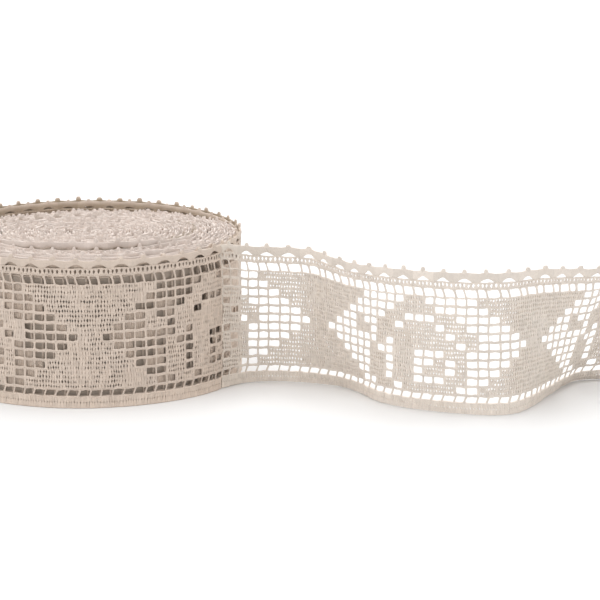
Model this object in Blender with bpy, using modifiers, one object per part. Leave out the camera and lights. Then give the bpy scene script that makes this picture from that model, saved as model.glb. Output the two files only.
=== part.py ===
"""Roll of filet lace tape that stands on its hem, with its free end drawn out in an S.

Units are metres and +Z is up. The origin lies on the roll's axis, on the surface that it
stands on, and -Y is the front. The tape is numbered in columns of its filet ground: column 0
opens the first whole motif on the roll's front, and the numbers grow towards the free end.
"""

import math
from collections import namedtuple

import bmesh
import bpy
from mathutils import Vector

MM = 0.001
WELD = 0.01 * MM

# The tape
TAPE_HEIGHT = 65.0 * MM
TAPE_THICKNESS = 1.1 * MM
COLUMN_PITCH = 4.8 * MM
ROW_PITCH = 4.08 * MM
ROW_COUNT = 11
BAR_WIDTH = 0.8 * MM
HEM_HEIGHT = 5.0 * MM
HEM_EYELET_HEIGHT = 3.0 * MM
LOWEST_MESH = 8.95 * MM
MESH_HEIGHT = 3.1 * MM
TOP_EYELET_FOOT = 53.5 * MM
TOP_EYELET_HEIGHT = 3.5 * MM
EYELET_SLANT = 0.9 * MM

# The motif: the open meshes of each row, from the top row down, as first and last column
REPEAT_COLUMNS = 24
REPEAT_START = -4
OPEN_MESHES = (
    ((1, 5), (8, 12)),
    ((0, 4), (9, 13)),
    ((-1, 3), (6, 8), (11, 14)),
    ((-2, -1), (1, 2), (5, 5), (9, 9), (12, 15)),
    ((-3, -1), (2, 2), (10, 10), (13, 16)),
    ((-4, 2), (4, 4), (11, 11), (13, 17)),
    ((-3, 1), (3, 4), (7, 9), (12, 16)),
    ((-2, 1), (4, 4), (7, 8), (10, 10), (12, 15)),
    ((-1, 1), (4, 4), (7, 7), (10, 10), (12, 14)),
    ((0, 1), (4, 4), (7, 9), (12, 13)),
    ((1, 2), (5, 5), (11, 12)),
)

# The roll
ROLL_RADIUS = 68.5 * MM
LAYER_PITCH = 1.4 * MM
INNER_TURNS = 12
TURN_SEGMENTS = 90
LEAVING_ANGLE = math.radians(-29.0)
MAT_DROP = 1.0 * MM
MAT_SWELL = 2.4 * MM
REAR_SINK = 2.2 * MM
RIDGE_HEIGHT = 1.8 * MM
RIDGE_WAVE = 0.25 * MM
SCALLOP_DEPTH = 0.9 * MM
OUTER_LIP_DROP = 0.5 * MM

# The loose end
FIRST_COLUMN = 9
LAST_COLUMN = 56
END_GAP = 0.6 * MM
HEM_CLEARANCE = 0.2 * MM
SPAN_STEPS = 24
LEAD_LENGTH = 9.0 * MM

# Where its hem stands and how far its top edge leans out, in millimetres, fold by fold
Fold = namedtuple("Fold", "x y lean_x lean_y")
FOLDS = (
    Fold(68.0, -24.4, 1.0, -10.5),
    Fold(75.5, -21.2, 0.5, -14.0),
    Fold(85.5, -20.8, 0.0, -15.0),
    Fold(97.9, -24.6, 0.0, -15.5),
    Fold(109.5, -32.4, -2.4, -19.0),
    Fold(118.2, -43.4, -2.0, -20.0),
    Fold(128.6, -59.5, 0.0, -17.0),
    Fold(144.8, -71.0, 0.0, -15.0),
    Fold(164.0, -76.5, -1.5, -14.5),
    Fold(181.0, -74.6, -1.8, -15.0),
    Fold(191.6, -63.4, 0.6, -17.0),
    Fold(199.8, -47.4, 7.0, -22.0),
    Fold(208.5, -32.0, 13.5, -25.0),
    Fold(218.5, -22.0, 13.0, -22.0),
    Fold(250.0, -18.5, 8.0, -17.0),
)


def clear_scene():
    """Removes every object of the scene."""
    for old in list(bpy.data.objects):
        bpy.data.objects.remove(old, do_unlink=True)


def cotton(name, colour):
    """Makes the matt cotton of the tape."""
    material = bpy.data.materials.new(name)
    material.use_nodes = True
    shader = material.node_tree.nodes["Principled BSDF"]
    shader.inputs["Base Color"].default_value = (*colour, 1.0)
    shader.inputs["Roughness"].default_value = 0.92
    shader.inputs["Metallic"].default_value = 0.0
    return material


def new_object(name, mesh, material, collection):
    """Puts a mesh in the collection as a named object with its material."""
    mesh.materials.append(material)
    made = bpy.data.objects.new(name, mesh)
    collection.objects.link(made)
    return made


# The roll


def turn_radius(turn):
    """Radius of the line between two turns, counted in turns from the axis."""
    inner = ROLL_RADIUS - 2.0 * LAYER_PITCH
    if turn <= INNER_TURNS:
        return inner * turn / INNER_TURNS
    return inner + LAYER_PITCH * (turn - INNER_TURNS)


def mat_height(radius, angle):
    """Height of the mat of inner turns: swollen at the front, sunk below the rim behind."""
    share = radius / ROLL_RADIUS
    front = -math.sin(angle)
    swell = MAT_SWELL * math.sin(math.pi * share ** 1.4) * (0.45 + 0.55 * front)
    sink = REAR_SINK * max(0.0, -front) * share ** 4
    return TAPE_HEIGHT - MAT_DROP + swell - sink


def ridge_wave(turn, angle):
    """Unevenness of one turn's edge along its way round."""
    slow = math.sin(2.0 * angle + 2.4 * turn)
    quick = math.sin(5.0 * angle - 4.1 * turn)
    return RIDGE_WAVE * (0.6 * slow + 0.4 * quick)


def roll_point(step, line):
    """Place of a point of the roll's top: step counts along the winding, line across a turn.

    Line 0 is the groove on the turn's inner side, 1 its crest and 2 the groove outside it.
    """
    turn = step / TURN_SEGMENTS
    angle = LEAVING_ANGLE + 2.0 * math.pi * (turn - INNER_TURNS - 1)
    radius = 0.5 * (turn_radius(turn) * (2 - line) + turn_radius(turn + 1) * line)
    if line == 1 and turn >= INNER_TURNS:
        height = TAPE_HEIGHT - SCALLOP_DEPTH * (step % 2)
    elif line == 2 and turn > INNER_TURNS:
        height = TAPE_HEIGHT - OUTER_LIP_DROP - SCALLOP_DEPTH * (step % 2)
    else:
        height = mat_height(radius, angle) + ridge_wave(turn + 0.5 * line, angle)
        if line != 1:
            height -= RIDGE_HEIGHT
    return Vector((radius * math.cos(angle), radius * math.sin(angle), height))


def make_roll(material, collection):
    """Builds the wound tape: a spiral top of soft ridges, an upright wall and a flat base."""
    steps = TURN_SEGMENTS * (INNER_TURNS + 1)
    shape = bmesh.new()
    bmesh.ops.create_grid(shape, x_segments=steps, y_segments=2, size=0.5)
    for vert in shape.verts:
        vert.co = roll_point(round((vert.co.x + 0.5) * steps), round((vert.co.y + 0.5) * 2))
    bmesh.ops.remove_doubles(shape, verts=shape.verts, dist=WELD)

    rim = [edge for edge in shape.edges if edge.is_boundary]
    eye = [edge for edge in rim if all(v.co.xy.length < turn_radius(2) for v in edge.verts)]
    outside = [edge for edge in rim if edge not in eye]
    bmesh.ops.contextual_create(shape, geom=eye)
    wall = bmesh.ops.extrude_edge_only(shape, edges=outside)["geom"]
    foot_edges = []
    for piece in wall:
        if isinstance(piece, bmesh.types.BMVert):
            piece.co.z = 0.0
        elif isinstance(piece, bmesh.types.BMEdge):
            foot_edges.append(piece)
    bmesh.ops.contextual_create(shape, geom=foot_edges)
    bmesh.ops.recalc_face_normals(shape, faces=shape.faces)

    mesh = bpy.data.meshes.new("wound_roll")
    shape.to_mesh(mesh)
    shape.free()
    return new_object("wound_roll", mesh, material, collection)


# The loose end


def smooth_through(before, start, end, after, share):
    """Catmull-Rom blend between two of four neighbouring values."""
    square = share * share
    cube = square * share
    return 0.5 * (
        2.0 * start
        + (end - before) * share
        + (2.0 * before - 5.0 * start + 4.0 * end - after) * square
        + (3.0 * start - before - 3.0 * end + after) * cube
    )


def on_roll(angle):
    """A fold's place where the outer turn still lies on the roll."""
    radius = (ROLL_RADIUS - 0.5 * TAPE_THICKNESS) / MM
    return Fold(radius * math.cos(angle), radius * math.sin(angle), 0.0, 0.0)


def hem_way():
    """Samples the hem's way as pairs of its length so far and the fold there."""
    lead = LEAD_LENGTH / ROLL_RADIUS
    stations = [on_roll(LEAVING_ANGLE - lead), on_roll(LEAVING_ANGLE), *FOLDS]
    last, before_last = stations[-1], stations[-2]
    stations.append(Fold(*(2.0 * a - b for a, b in zip(last, before_last))))
    samples = []
    length = 0.0
    for index in range(1, len(stations) - 2):
        four = stations[index - 1:index + 3]
        for step in range(SPAN_STEPS):
            share = step / SPAN_STEPS
            place = Fold(*(smooth_through(*values, share) for values in zip(*four)))
            if samples:
                previous = samples[-1][1]
                length += math.hypot(place.x - previous.x, place.y - previous.y)
            samples.append((length, place))
    return samples


def fold_at(way, along):
    """Reads the hem's way at a length along it, in metres."""
    wanted = along / MM
    for (start, first), (end, second) in zip(way, way[1:]):
        if wanted <= end:
            share = (wanted - start) / (end - start)
            return Fold(*(a + (b - a) * share for a, b in zip(first, second)))
    raise ValueError("the loose end is longer than its way")


def motif_column(column):
    """The column's place within the repeat."""
    return (column - REPEAT_START) % REPEAT_COLUMNS + REPEAT_START


def is_open(row, column):
    """True where the filet ground has an open mesh."""
    place = motif_column(column)
    return any(first <= place <= last for first, last in OPEN_MESHES[row])


def row_lines():
    """Heights at which the flat tape is divided, and the kind of each strip between them."""
    lines = [0.0, HEM_HEIGHT, HEM_HEIGHT + HEM_EYELET_HEIGHT]
    kinds = ["solid", "hem eyelet"]
    for row in reversed(range(ROW_COUNT)):
        foot = LOWEST_MESH + (ROW_COUNT - 1 - row) * ROW_PITCH
        lines += [foot, foot + MESH_HEIGHT]
        kinds += ["solid", row]
    lines += [TOP_EYELET_FOOT, TOP_EYELET_FOOT + TOP_EYELET_HEIGHT, TAPE_HEIGHT]
    kinds += ["solid", "top eyelet", "solid"]
    return lines, kinds


def column_lines():
    """Lengths at which the flat tape is divided, two for each bar between its columns."""
    count = LAST_COLUMN - FIRST_COLUMN + 1
    lines = [0.0, BAR_WIDTH]
    for boundary in range(1, count):
        lines.append(boundary * COLUMN_PITCH - 0.5 * BAR_WIDTH)
        lines.append(boundary * COLUMN_PITCH + 0.5 * BAR_WIDTH)
    lines += [count * COLUMN_PITCH - BAR_WIDTH, count * COLUMN_PITCH]
    return lines


def open_cells(kinds):
    """Cells to leave out of the flat tape, as pairs of length division and strip.

    Every mesh of the ground and every top eyelet is cut singly, and the hem's small eyelets
    in pairs, at twice their pitch.
    """
    cells = []
    for column in range(FIRST_COLUMN, LAST_COLUMN + 1):
        place = 2 * (column - FIRST_COLUMN) + 1
        starts_pair = (column - FIRST_COLUMN) % 2 == 0
        for strip, kind in enumerate(kinds):
            if kind == "top eyelet" or isinstance(kind, int) and is_open(kind, column):
                cells.append((place, strip))
            elif kind == "hem eyelet" and starts_pair:
                cells += [(place, strip), (place + 1, strip), (place + 2, strip)]
    return cells


def slant(height):
    """How far a bar's end is drawn back along the tape, above and below the filet ground."""
    hem_eyelet_top = HEM_HEIGHT + HEM_EYELET_HEIGHT
    if height > TOP_EYELET_FOOT:
        return -EYELET_SLANT * min(1.0, (height - TOP_EYELET_FOOT) / TOP_EYELET_HEIGHT)
    if height < hem_eyelet_top:
        return -EYELET_SLANT * min(1.0, (hem_eyelet_top - height) / HEM_EYELET_HEIGHT)
    return 0.0


def flat_lace():
    """Lays out the flat tape with its meshes and eyelets open: X along it, Y up it."""
    along = column_lines()
    up, kinds = row_lines()
    shape = bmesh.new()
    bmesh.ops.create_grid(shape, x_segments=len(along) - 1, y_segments=len(up) - 1, size=0.5)
    cells = {}
    for face in shape.faces:
        centre = face.calc_center_median()
        column = int((centre.x + 0.5) * (len(along) - 1))
        strip = int((centre.y + 0.5) * (len(up) - 1))
        cells[column, strip] = face
    for vert in shape.verts:
        column = round((vert.co.x + 0.5) * (len(along) - 1))
        line = round((vert.co.y + 0.5) * (len(up) - 1))
        vert.co = (along[column], up[line], 0.0)
        if line == len(up) - 1 and column % 4 in (0, 3):
            vert.co.y -= SCALLOP_DEPTH
    cut = [cells[place] for place in open_cells(kinds)]
    bmesh.ops.delete(shape, geom=cut, context="FACES")
    join_plain_runs(shape)
    return shape


def join_plain_runs(shape):
    """Joins the solid cells that stand over each other, so that each run is one tall face."""
    level = []
    for edge in shape.edges:
        low, high = sorted(vert.co.y for vert in edge.verts)
        if high - low < WELD and len(edge.link_faces) == 2:
            level.append(edge)
    bmesh.ops.dissolve_edges(shape, edges=level, use_verts=True)


def bend_along(shape, way):
    """Stands the flat tape up along its way, each column leaning with the fold."""
    end = column_lines()[-1]
    for vert in shape.verts:
        height = vert.co.y
        along = min(max(vert.co.x + slant(height), 0.0), end) + END_GAP
        fold = fold_at(way, along)
        share = height / TAPE_HEIGHT
        lean = math.hypot(fold.lean_x, fold.lean_y) * MM
        upright = math.sqrt(TAPE_HEIGHT ** 2 - lean ** 2)
        vert.co = (
            (fold.x + fold.lean_x * share) * MM,
            (fold.y + fold.lean_y * share) * MM,
            HEM_CLEARANCE + upright * share,
        )


def make_loose_end(material, collection):
    """Builds the free end as one sheet of the tape's thickness with its open meshes."""
    shape = flat_lace()
    bend_along(shape, hem_way())
    bmesh.ops.recalc_face_normals(shape, faces=shape.faces)
    mesh = bpy.data.meshes.new("loose_end")
    shape.to_mesh(mesh)
    shape.free()
    made = new_object("loose_end", mesh, material, collection)
    body = made.modifiers.new("tape thickness", "SOLIDIFY")
    body.thickness = TAPE_THICKNESS
    body.offset = 0.0
    body.use_even_offset = True
    return made


def main():
    """Builds the roll and its loose end in one collection."""
    clear_scene()
    collection = bpy.data.collections.new("roll_of_lace_trim")
    bpy.context.scene.collection.children.link(collection)
    natural = cotton("natural cotton", (0.62, 0.53, 0.45))
    make_roll(natural, collection)
    make_loose_end(natural, collection)


main()
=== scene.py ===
"""A roll of natural cotton filet lace trim that stands on its hem, its loose end drawn out.

Each kind of stitch is modelled once. The stitches are copied along a flat tape, with each open
mesh of the filet ground left open, and the flat tape is then bent along the way that it takes:
round the roll, turn within turn, and out in an S. The flat tape is in millimetres, with x along
it, y out of its face and z up from its hem. Finished pieces are in metres.
"""

import logging
import math
from collections import namedtuple
from collections.abc import Callable
from dataclasses import dataclass, field
from enum import Enum

import bmesh
import bpy
import numpy as np
from mathutils import Euler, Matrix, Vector


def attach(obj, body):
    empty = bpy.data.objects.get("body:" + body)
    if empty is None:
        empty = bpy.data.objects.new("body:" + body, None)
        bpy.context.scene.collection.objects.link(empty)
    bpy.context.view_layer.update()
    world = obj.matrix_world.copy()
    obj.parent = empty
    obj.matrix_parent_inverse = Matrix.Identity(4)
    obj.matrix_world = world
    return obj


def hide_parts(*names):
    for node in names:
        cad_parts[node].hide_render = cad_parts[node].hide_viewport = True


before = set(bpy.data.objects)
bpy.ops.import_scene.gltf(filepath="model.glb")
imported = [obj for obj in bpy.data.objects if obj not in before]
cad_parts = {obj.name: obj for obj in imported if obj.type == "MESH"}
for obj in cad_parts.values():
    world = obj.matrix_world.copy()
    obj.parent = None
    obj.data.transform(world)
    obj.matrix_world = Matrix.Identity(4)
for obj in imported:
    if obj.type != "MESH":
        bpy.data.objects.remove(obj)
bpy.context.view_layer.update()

logging.basicConfig(level=logging.INFO, format="%(message)s")
log = logging.getLogger("lace_roll")

MM = 0.001
TAPE_HEIGHT = 65.0
BODY = "root"


# The stitches

class Stitch(Enum):
    """The kinds of stitch that the lace is made of."""

    POST = "post of the solid ground"
    LOOSE_POST = "post with a slit beside it"
    OPEN_POST = "post with a wide slit beside it"
    BAR = "bar between open meshes"
    CHAIN = "chain along a row"
    EYELET_BAR = "slanting bar of the top eyelets"
    HEM_BAR = "slanting bar of the hem's eyelets"
    SLIT_POST = "short post under the arches"
    ARCH = "arch of the scalloped edge"
    PICOT = "knot on an arch"
    HEM_POST = "post of the hem"
    PLAIN_POST = "rib of a turn below"
    PLAIN_CHAIN = "straight cord of a turn below"
    PLAIN_ARCH = "arch of a turn below"
    PLAIN_PICOT = "knot of a turn below"
    WALL = "cloth of a turn deep in the roll"


@dataclass(frozen=True)
class Ring:
    """One cross-section of a stitch, in millimetres.

    Attributes:
        height: Its place along the stitch.
        width: Its full width.
        depth: Its full depth through the cloth.
        shift: How far its centre lies to the side.
    """

    height: float
    width: float
    depth: float
    shift: float = 0.0


def rings(*rows: tuple[float, ...]) -> list[Ring]:
    """Makes rings from rows of height, width and depth, with a shift where there is one."""
    return [Ring(*row) for row in rows]


@dataclass(frozen=True)
class StitchMesh:
    """One modelled stitch.

    Attributes:
        points: Its corners in millimetres, one row each.
        loops: The corners of its faces, one face after the other.
        sizes: The number of corners of each face.
    """

    points: np.ndarray
    loops: np.ndarray
    sizes: np.ndarray


def select_where(mesh: bpy.types.Mesh, wanted: Callable[[Vector], bool]) -> None:
    """Selects, in edit mode, the corners that a test picks.

    Args:
        mesh: The mesh that is being edited.
        wanted: A test that takes a corner's place.
    """
    shape = bmesh.from_edit_mesh(mesh)
    for corner in shape.verts:
        corner.select = bool(wanted(corner.co))
    shape.select_flush_mode()
    bmesh.update_edit_mesh(mesh)


@dataclass
class StitchBench:
    """Models every stitch once.

    Attributes:
        column: Width of a column of the ground.
        edge_foot: Height of the underside of the scalloped edge, where its arches meet.
        edge_valley: Height of its top where the arches meet.
        scallop: How far its top rises from there to a picot's seat.
        arch_hole: Height of the hole under an arch of the outer turn.
        plain_hole: Height of the hole under an arch of a turn below.
        lens_start: Share of an arch's bow at which the hole under it starts.
        overlap: How far an arch runs on into its neighbours.
        arch_depth: Depth of the scalloped edge.
        groove: How far the groove between a post's two yarns is drawn in, as a share.
    """

    column: float = 4.8
    edge_foot: float = 60.3
    edge_valley: float = 63.75
    scallop: float = 0.15
    arch_hole: float = 1.6
    plain_hole: float = 1.1
    lens_start: float = 0.58
    overlap: float = 0.25
    arch_depth: float = 1.25
    groove: float = 0.66

    def loft(self, sides: int, rows: list[Ring], groove: float = 1.0) -> bpy.types.Object:
        """Draws a closed stitch up from its lowest ring.

        Args:
            sides: Number of sides.
            rows: The cross-sections, from the lowest up.
            groove: Share of the depth that is left along its middle.

        Returns:
            The new object, upright and in object mode.
        """
        bpy.ops.object.select_all(action="DESELECT")
        bpy.ops.mesh.primitive_circle_add(vertices=sides, radius=0.5, fill_type="NGON")
        made = bpy.context.active_object
        bpy.ops.object.mode_set(mode="EDIT")
        bpy.ops.mesh.select_mode(type="VERT")
        if groove < 1.0:
            select_where(made.data, lambda place: abs(place.x) < 0.01)
            bpy.ops.transform.resize(value=(1.0, groove, 1.0))
        bpy.ops.mesh.select_all(action="SELECT")
        before = rows[0]
        bpy.ops.transform.resize(value=(before.width, before.depth, 1.0))
        bpy.ops.transform.translate(value=(before.shift, 0.0, before.height))
        for ring in rows[1:]:
            rise = (ring.shift - before.shift, 0.0, ring.height - before.height)
            bpy.ops.mesh.extrude_region_move(TRANSFORM_OT_translate={"value": rise})
            share = (ring.width / before.width, ring.depth / before.depth, 1.0)
            bpy.ops.transform.resize(value=share)
            before = ring
        bpy.ops.mesh.select_all(action="SELECT")
        bpy.ops.mesh.normals_make_consistent(inside=False)
        bpy.ops.object.mode_set(mode="OBJECT")
        return made

    def lay_down(self, made: bpy.types.Object) -> bpy.types.Object:
        """Turns an upright stitch so that it runs along the tape.

        Args:
            made: The stitch's object.

        Returns:
            The same object.
        """
        made.rotation_euler = (0.0, 0.5 * math.pi, 0.0)
        bpy.ops.object.transform_apply(location=False, rotation=True, scale=False)
        return made

    def take(self, made: bpy.types.Object) -> StitchMesh:
        """Reads a modelled stitch and clears it away.

        Args:
            made: The stitch's object.

        Returns:
            Its points and faces.
        """
        mesh = made.data
        points = np.array([tuple(corner.co) for corner in mesh.vertices])
        loops = np.array([corner for face in mesh.polygons for corner in face.vertices])
        sizes = np.array([len(face.vertices) for face in mesh.polygons])
        bpy.data.objects.remove(made)
        bpy.data.meshes.remove(mesh)
        return StitchMesh(points, loops, sizes)

    def post(self, waist: float) -> StitchMesh:
        """A post of two yarns side by side, as wide as its waist says at mid-height."""
        rows = rings((0.0, 1.66, 1.08), (1.02, waist, 1.22), (2.08, 1.66, 1.08))
        return self.take(self.loft(8, rows, self.groove))

    def chain(self) -> StitchMesh:
        """Models a column's length of chain, in two bulges.

        Returns:
            The chain.
        """
        step = 0.25 * self.column
        sizes = (0.86, 1.06, 0.84, 1.04, 0.86)
        rows = [Ring(step * place, size, 0.98 * size) for place, size in enumerate(sizes)]
        return self.take(self.lay_down(self.loft(5, rows)))

    def arch(self, hole: float, steps: int, ribs: float) -> StitchMesh:
        """Models a scallop of the edge over two columns, with its lens-shaped hole below.

        Args:
            hole: Height of the hole.
            steps: Number of divisions along it.
            ribs: How much its stitches swell and narrow, as a share.

        Returns:
            The arch.
        """
        length = 2.0 * self.column
        rows = []
        for step in range(steps + 1):
            bow = math.sin(math.pi * step / steps)
            lens = max(0.0, (bow - self.lens_start) / (1.0 - self.lens_start)) ** 0.75
            bottom = self.edge_foot + hole * lens
            top = self.edge_valley + self.scallop * bow * bow
            depth = self.arch_depth * (1.0 + ribs * (1 if step % 2 else -1))
            overlap = self.overlap * ((step == steps) - (step == 0))
            along = length * step / steps + overlap
            rows.append(Ring(along, top - bottom, depth, -0.5 * (bottom + top)))
        return self.take(self.lay_down(self.loft(6, rows)))

    def wall(self) -> StitchMesh:
        """Models a panel of cloth two columns long, divided so that it can bend.

        Returns:
            The panel.
        """
        length, depth, height = 2.0 * self.column, 0.95, 60.4
        bpy.ops.object.select_all(action="DESELECT")
        bpy.ops.mesh.primitive_cube_add(size=1.0, location=(0.5 * length, 0.0, 0.5 * height))
        made = bpy.context.active_object
        bpy.ops.object.mode_set(mode="EDIT")
        bpy.ops.transform.resize(value=(length, depth, height))
        for share in (0.25, 0.5, 0.75):
            bpy.ops.mesh.select_all(action="SELECT")
            cut = made.matrix_world @ Vector((length * (share - 0.5), 0.0, 0.0))
            bpy.ops.mesh.bisect(plane_co=cut, plane_no=(1.0, 0.0, 0.0))
        bpy.ops.object.mode_set(mode="OBJECT")
        bpy.ops.object.transform_apply(location=True, rotation=False, scale=False)
        return self.take(made)

    def upright(self) -> dict[Stitch, StitchMesh]:
        """Models the stitches that stand upright.

        Returns:
            The stitches by kind.
        """
        bar = rings(
            (0.0, 1.9, 0.9), (0.75, 0.98, 0.84), (1.85, 0.86, 0.76),
            (2.95, 0.98, 0.84), (3.7, 1.9, 0.9),
        )
        eyelet_bar = rings(
            (0.0, 1.9, 0.9), (0.7, 1.02, 0.82, -0.05), (2.0, 0.88, 0.76, -0.32),
            (3.3, 0.98, 0.80, -0.76), (4.2, 2.0, 0.9, -0.92),
        )
        hem_bar = rings(
            (0.0, 1.9, 0.9, -0.92), (0.8, 1.0, 0.82, -0.80), (1.85, 0.88, 0.76, -0.48),
            (2.9, 1.0, 0.82, -0.10), (3.7, 1.9, 0.9, 0.0),
        )
        slit_post = rings((0.0, 2.3, 0.9), (1.3, 1.02, 0.84), (2.6, 2.4, 0.9))
        picot = rings((0.0, 2.5, 1.2), (0.75, 2.4, 1.2), (1.3, 1.9, 1.1), (1.7, 1.2, 0.8))
        hem_post = rings((0.0, 1.4, 0.94), (1.85, 1.4, 0.98), (2.5, 0.98, 0.86))
        plain_post = rings((0.0, 1.5, 1.05), (4.12, 1.5, 1.05))
        plain_picot = rings((0.0, 2.8, 1.25), (1.0, 1.9, 1.25), (1.7, 0.95, 0.85))
        sections = {
            Stitch.BAR: (6, bar),
            Stitch.EYELET_BAR: (6, eyelet_bar),
            Stitch.HEM_BAR: (6, hem_bar),
            Stitch.SLIT_POST: (6, slit_post),
            Stitch.PICOT: (6, picot),
            Stitch.HEM_POST: (6, hem_post),
            Stitch.PLAIN_POST: (4, plain_post),
            Stitch.PLAIN_PICOT: (4, plain_picot),
        }
        return {kind: self.take(self.loft(*section)) for kind, section in sections.items()}

    def model_all(self) -> dict[Stitch, StitchMesh]:
        """Models every kind of stitch.

        Returns:
            The stitches by kind.
        """
        plain_chain = rings((0.0, 1.15, 1.15), (self.column, 1.15, 1.15))
        return {
            **self.upright(),
            Stitch.POST: self.post(1.22),
            Stitch.LOOSE_POST: self.post(0.74),
            Stitch.OPEN_POST: self.post(0.44),
            Stitch.CHAIN: self.chain(),
            Stitch.PLAIN_CHAIN: self.take(self.lay_down(self.loft(4, plain_chain))),
            Stitch.ARCH: self.arch(self.arch_hole, 12, 0.06),
            Stitch.PLAIN_ARCH: self.arch(self.plain_hole, 10, 0.11),
            Stitch.WALL: self.wall(),
        }


# The pattern of the filet ground

@dataclass(frozen=True)
class FiletPattern:
    """Sizes of the flat tape, and which of its meshes are open.

    Attributes:
        height: Height of the tape, from hem to picot tips; not used.
        column: Pitch of the columns.
        row: Pitch of the rows.
        rows: Number of rows of the ground.
        mesh_height: Height of an open mesh.
        lowest_mesh: Height of the foot of the lowest row's meshes.
        hem_cord: Height of the cord along the hem's foot.
        hem_seam: Height of the hem's line of stitch holes.
        hem_reach: How far the hem's posts reach below and above that line.
        hem_bars: Height of the foot of the hem eyelets' bars.
        hem_brim: Height of the cord along the hem's top.
        tuck: How far a bar's foot goes into the cord below it.
        ground_cord: Height of the cord along the top of the ground.
        top_bars: Height of the foot of the top eyelets' bars.
        uneven: How far every other one of them stands to one side.
        slit_cord: Height of the cord below the short posts.
        arch_cord: Height of the cord above them, which the arches stand on.
        picot_foot: Height that the picots start from, within the arches.
        slant: How far the eyelets' bars slant, so that the hem and the edge lie further back.
        first_loose: The first column of the loose end.
        last_loose: The last column of the loose end.
        repeat: Number of columns in a repeat.
        repeat_start: The column that a repeat starts from.
        open_meshes: For each row from the top down, the first and last columns left open.
    """

    height: float = TAPE_HEIGHT
    column: float = 4.8
    row: float = 4.08
    rows: int = 11
    mesh_height: float = 3.1
    lowest_mesh: float = 8.95
    hem_cord: float = 0.46
    hem_seam: float = 2.6
    hem_reach: float = 2.48
    hem_bars: float = 4.65
    hem_brim: float = 5.0
    tuck: float = 0.3
    ground_cord: float = 53.18
    top_bars: float = 53.15
    uneven: float = 0.34
    slit_cord: float = 57.55
    arch_cord: float = 60.2
    picot_foot: float = 63.4
    slant: float = 0.92
    first_loose: int = 9
    last_loose: int = 56
    repeat: int = 24
    repeat_start: int = -4
    open_meshes: tuple[tuple[tuple[int, int], ...], ...] = (
        ((1, 5), (8, 12)),
        ((0, 4), (9, 13)),
        ((-1, 3), (6, 8), (11, 14)),
        ((-2, -1), (1, 2), (5, 5), (9, 9), (12, 15)),
        ((-3, -1), (2, 2), (10, 10), (13, 16)),
        ((-4, 2), (4, 4), (11, 11), (13, 17)),
        ((-3, 1), (3, 4), (7, 9), (12, 16)),
        ((-2, 1), (4, 4), (7, 8), (10, 10), (12, 15)),
        ((-1, 1), (4, 4), (7, 7), (10, 10), (12, 14)),
        ((0, 1), (4, 4), (7, 9), (12, 13)),
        ((1, 2), (5, 5), (11, 12)),
    )

    def is_open(self, row: int, column: int) -> bool:
        """True where the ground has an open mesh."""
        place = (column - self.repeat_start) % self.repeat + self.repeat_start
        return any(first <= place <= last for first, last in self.open_meshes[row])

    def foot(self, row: int) -> float:
        """Height of the foot of a row's meshes."""
        return self.lowest_mesh + (self.rows - 1 - row) * self.row

    def cord(self, row: int) -> float:
        """Height of the cord below a row's meshes."""
        return self.foot(row) - 0.5 * (self.row - self.mesh_height)

    def start(self, column: int) -> float:
        """How far along the tape a column starts, counted from where the loose end leaves."""
        return (column - self.first_loose) * self.column


# The flat cloth

@dataclass
class FlatCloth:
    """Stitches gathered on the flat tape.

    Attributes:
        points: Corners of all the stitches so far, in millimetres.
        loops: The corners of their faces.
        sizes: The number of corners of each face.
        tones: A number for each corner that makes its stitch a little lighter or darker at random,
            with painted light added on the hem.
        count: Number of corners so far.
    """

    points: list[np.ndarray] = field(default_factory=list)
    loops: list[np.ndarray] = field(default_factory=list)
    sizes: list[np.ndarray] = field(default_factory=list)
    tones: list[np.ndarray] = field(default_factory=list)
    count: int = 0

    def add(
        self,
        stitch: StitchMesh,
        places: np.ndarray,
        scales: np.ndarray,
        tones: np.ndarray,
    ) -> None:
        """Copies a stitch to many places.

        Args:
            stitch: The stitch.
            places: One place for each copy.
            scales: One scale along each axis for each copy.
            tones: One tone for each copy.
        """
        copies = stitch.points[None, :, :] * scales[:, None, :] + places[:, None, :]
        corners = len(stitch.points)
        starts = self.count + corners * np.arange(len(places))
        self.points.append(copies.reshape(-1, 3))
        self.loops.append((stitch.loops[None, :] + starts[:, None]).ravel())
        self.sizes.append(np.tile(stitch.sizes, len(places)))
        self.tones.append(np.repeat(tones, corners))
        self.count += corners * len(places)

    def flat_points(self) -> np.ndarray:
        """All the corners, in one array."""
        return np.concatenate(self.points)


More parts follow.
